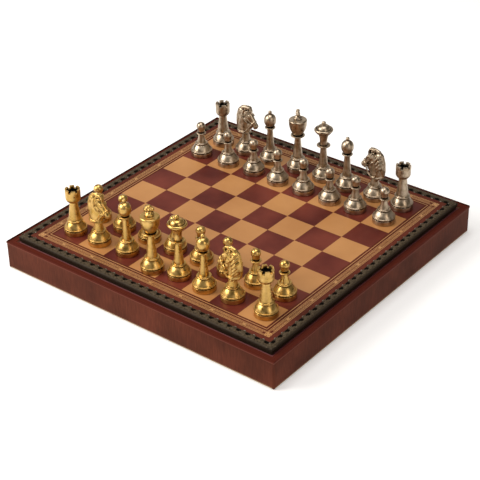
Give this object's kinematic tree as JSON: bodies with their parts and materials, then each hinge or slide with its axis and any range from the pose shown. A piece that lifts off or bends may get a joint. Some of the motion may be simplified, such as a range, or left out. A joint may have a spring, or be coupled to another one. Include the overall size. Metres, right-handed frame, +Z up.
{
  "type": "chess set with board",
  "caption": "Framed board of inlaid leatherette squares that lifts off a covered storage box, with gold and silver coloured metal chessmen standing on it.",
  "frame": {"origin": "centre of the box's underside, on the surface it stands on", "axes": "+Z up; the gold side faces -Y and the silver side +Y; +X to the right as the gold player sees it"},
  "size_m": [0.352, 0.352, 0.114],
  "materials": {
    "gold_metal": "polished",
    "silver_metal": "antique polished",
    "bronze": "dark patina",
    "burgundy_leather": "satin",
    "dark_leather": "satin",
    "light_leather": "satin",
    "gold_foil": "foil",
    "wood": "raw",
    "lining": "flocked",
    "felt": "felt"
  },
  "bodies": {
    "box": {"base_felt": "felt", "base_panel": "wood", "wall_front": "wood", "wall_right": "wood", "wall_back": "wood", "wall_left": "wood", "leatherette_wrap": "burgundy_leather", "storage_lining": "lining", "rail_front": "lining", "rail_right": "lining", "rail_back": "lining", "rail_left": "lining", "divider_long": "lining", "divider_front": "lining", "divider_back": "lining"},
    "board": {"board_underfelt": "felt", "board_panel": "wood", "border_sheet": "burgundy_leather", "dark_squares": "dark_leather", "light_squares": "light_leather", "gold_rule": "gold_foil", "corner_rosettes": "gold_foil", "tooled_band": "gold_foil", "moulding_front": "bronze", "moulding_right": "bronze", "moulding_back": "bronze", "moulding_left": "bronze"},
    "gold_rook_left_man": {"gold_rook_left": "gold_metal"},
    "gold_knight_left_man": {"gold_knight_left": "gold_metal"},
    "gold_bishop_left_man": {"gold_bishop_left": "gold_metal"},
    "gold_king_man": {"gold_king": "gold_metal"},
    "gold_queen_man": {"gold_queen": "gold_metal"},
    "gold_bishop_right_man": {"gold_bishop_right": "gold_metal"},
    "gold_knight_right_man": {"gold_knight_right": "gold_metal"},
    "gold_rook_right_man": {"gold_rook_right": "gold_metal"},
    "gold_pawn_1_man": {"gold_pawn_1": "gold_metal"},
    "gold_pawn_2_man": {"gold_pawn_2": "gold_metal"},
    "gold_pawn_3_man": {"gold_pawn_3": "gold_metal"},
    "gold_pawn_4_man": {"gold_pawn_4": "gold_metal"},
    "gold_pawn_5_man": {"gold_pawn_5": "gold_metal"},
    "gold_pawn_6_man": {"gold_pawn_6": "gold_metal"},
    "gold_pawn_7_man": {"gold_pawn_7": "gold_metal"},
    "gold_pawn_8_man": {"gold_pawn_8": "gold_metal"},
    "silver_rook_left_man": {"silver_rook_left": "silver_metal"},
    "silver_knight_left_man": {"silver_knight_left": "silver_metal"},
    "silver_bishop_left_man": {"silver_bishop_left": "silver_metal"},
    "silver_king_man": {"silver_king": "silver_metal"},
    "silver_queen_man": {"silver_queen": "silver_metal"},
    "silver_bishop_right_man": {"silver_bishop_right": "silver_metal"},
    "silver_knight_right_man": {"silver_knight_right": "silver_metal"},
    "silver_rook_right_man": {"silver_rook_right": "silver_metal"},
    "silver_pawn_1_man": {"silver_pawn_1": "silver_metal"},
    "silver_pawn_2_man": {"silver_pawn_2": "silver_metal"},
    "silver_pawn_3_man": {"silver_pawn_3": "silver_metal"},
    "silver_pawn_4_man": {"silver_pawn_4": "silver_metal"},
    "silver_pawn_5_man": {"silver_pawn_5": "silver_metal"},
    "silver_pawn_6_man": {"silver_pawn_6": "silver_metal"},
    "silver_pawn_7_man": {"silver_pawn_7": "silver_metal"},
    "silver_pawn_8_man": {"silver_pawn_8": "silver_metal"}
  },
  "joints": [
    {"name": "board_lift", "type": "slide", "parent": "box", "child": "board", "axis": [0, 0, 1], "range_m": [0, 0.06]},
    {"name": "gold_king_lift", "type": "slide", "parent": "board", "child": "gold_king_man", "axis": [0, 0, 1], "range_m": [0, 0.09]},
    {"name": "silver_king_lift", "type": "slide", "parent": "board", "child": "silver_king_man", "axis": [0, 0, 1], "range_m": [0, 0.09]},
    {"name": "gold_queen_lift", "type": "slide", "parent": "board", "child": "gold_queen_man", "axis": [0, 0, 1], "range_m": [0, 0.09]},
    {"name": "silver_queen_lift", "type": "slide", "parent": "board", "child": "silver_queen_man", "axis": [0, 0, 1], "range_m": [0, 0.09]},
    {"name": "gold_knight_left_lift", "type": "slide", "parent": "board", "child": "gold_knight_left_man", "axis": [0, 0, 1], "range_m": [0, 0.09]},
    {"name": "gold_knight_right_lift", "type": "slide", "parent": "board", "child": "gold_knight_right_man", "axis": [0, 0, 1], "range_m": [0, 0.09]},
    {"name": "silver_knight_left_lift", "type": "slide", "parent": "board", "child": "silver_knight_left_man", "axis": [0, 0, 1], "range_m": [0, 0.09]},
    {"name": "silver_knight_right_lift", "type": "slide", "parent": "board", "child": "silver_knight_right_man", "axis": [0, 0, 1], "range_m": [0, 0.09]},
    {"name": "gold_rook_left_lift", "type": "slide", "parent": "board", "child": "gold_rook_left_man", "axis": [0, 0, 1], "range_m": [0, 0.09]},
    {"name": "gold_rook_right_lift", "type": "slide", "parent": "board", "child": "gold_rook_right_man", "axis": [0, 0, 1], "range_m": [0, 0.09]},
    {"name": "silver_rook_left_lift", "type": "slide", "parent": "board", "child": "silver_rook_left_man", "axis": [0, 0, 1], "range_m": [0, 0.09]},
    {"name": "silver_rook_right_lift", "type": "slide", "parent": "board", "child": "silver_rook_right_man", "axis": [0, 0, 1], "range_m": [0, 0.09]},
    {"name": "gold_bishop_left_lift", "type": "slide", "parent": "board", "child": "gold_bishop_left_man", "axis": [0, 0, 1], "range_m": [0, 0.09]},
    {"name": "gold_bishop_right_lift", "type": "slide", "parent": "board", "child": "gold_bishop_right_man", "axis": [0, 0, 1], "range_m": [0, 0.09]},
    {"name": "silver_bishop_left_lift", "type": "slide", "parent": "board", "child": "silver_bishop_left_man", "axis": [0, 0, 1], "range_m": [0, 0.09]},
    {"name": "silver_bishop_right_lift", "type": "slide", "parent": "board", "child": "silver_bishop_right_man", "axis": [0, 0, 1], "range_m": [0, 0.09]},
    {"name": "gold_pawn_1_lift", "type": "slide", "parent": "board", "child": "gold_pawn_1_man", "axis": [0, 0, 1], "range_m": [0, 0.09]},
    {"name": "gold_pawn_2_lift", "type": "slide", "parent": "board", "child": "gold_pawn_2_man", "axis": [0, 0, 1], "range_m": [0, 0.09]},
    {"name": "gold_pawn_3_lift", "type": "slide", "parent": "board", "child": "gold_pawn_3_man", "axis": [0, 0, 1], "range_m": [0, 0.09]},
    {"name": "gold_pawn_4_lift", "type": "slide", "parent": "board", "child": "gold_pawn_4_man", "axis": [0, 0, 1], "range_m": [0, 0.09]},
    {"name": "gold_pawn_5_lift", "type": "slide", "parent": "board", "child": "gold_pawn_5_man", "axis": [0, 0, 1], "range_m": [0, 0.09]},
    {"name": "gold_pawn_6_lift", "type": "slide", "parent": "board", "child": "gold_pawn_6_man", "axis": [0, 0, 1], "range_m": [0, 0.09]},
    {"name": "gold_pawn_7_lift", "type": "slide", "parent": "board", "child": "gold_pawn_7_man", "axis": [0, 0, 1], "range_m": [0, 0.09]},
    {"name": "gold_pawn_8_lift", "type": "slide", "parent": "board", "child": "gold_pawn_8_man", "axis": [0, 0, 1], "range_m": [0, 0.09]},
    {"name": "silver_pawn_1_lift", "type": "slide", "parent": "board", "child": "silver_pawn_1_man", "axis": [0, 0, 1], "range_m": [0, 0.09]},
    {"name": "silver_pawn_2_lift", "type": "slide", "parent": "board", "child": "silver_pawn_2_man", "axis": [0, 0, 1], "range_m": [0, 0.09]},
    {"name": "silver_pawn_3_lift", "type": "slide", "parent": "board", "child": "silver_pawn_3_man", "axis": [0, 0, 1], "range_m": [0, 0.09]},
    {"name": "silver_pawn_4_lift", "type": "slide", "parent": "board", "child": "silver_pawn_4_man", "axis": [0, 0, 1], "range_m": [0, 0.09]},
    {"name": "silver_pawn_5_lift", "type": "slide", "parent": "board", "child": "silver_pawn_5_man", "axis": [0, 0, 1], "range_m": [0, 0.09]},
    {"name": "silver_pawn_6_lift", "type": "slide", "parent": "board", "child": "silver_pawn_6_man", "axis": [0, 0, 1], "range_m": [0, 0.09]},
    {"name": "silver_pawn_7_lift", "type": "slide", "parent": "board", "child": "silver_pawn_7_man", "axis": [0, 0, 1], "range_m": [0, 0.09]},
    {"name": "silver_pawn_8_lift", "type": "slide", "parent": "board", "child": "silver_pawn_8_man", "axis": [0, 0, 1], "range_m": [0, 0.09]}
  ]
}
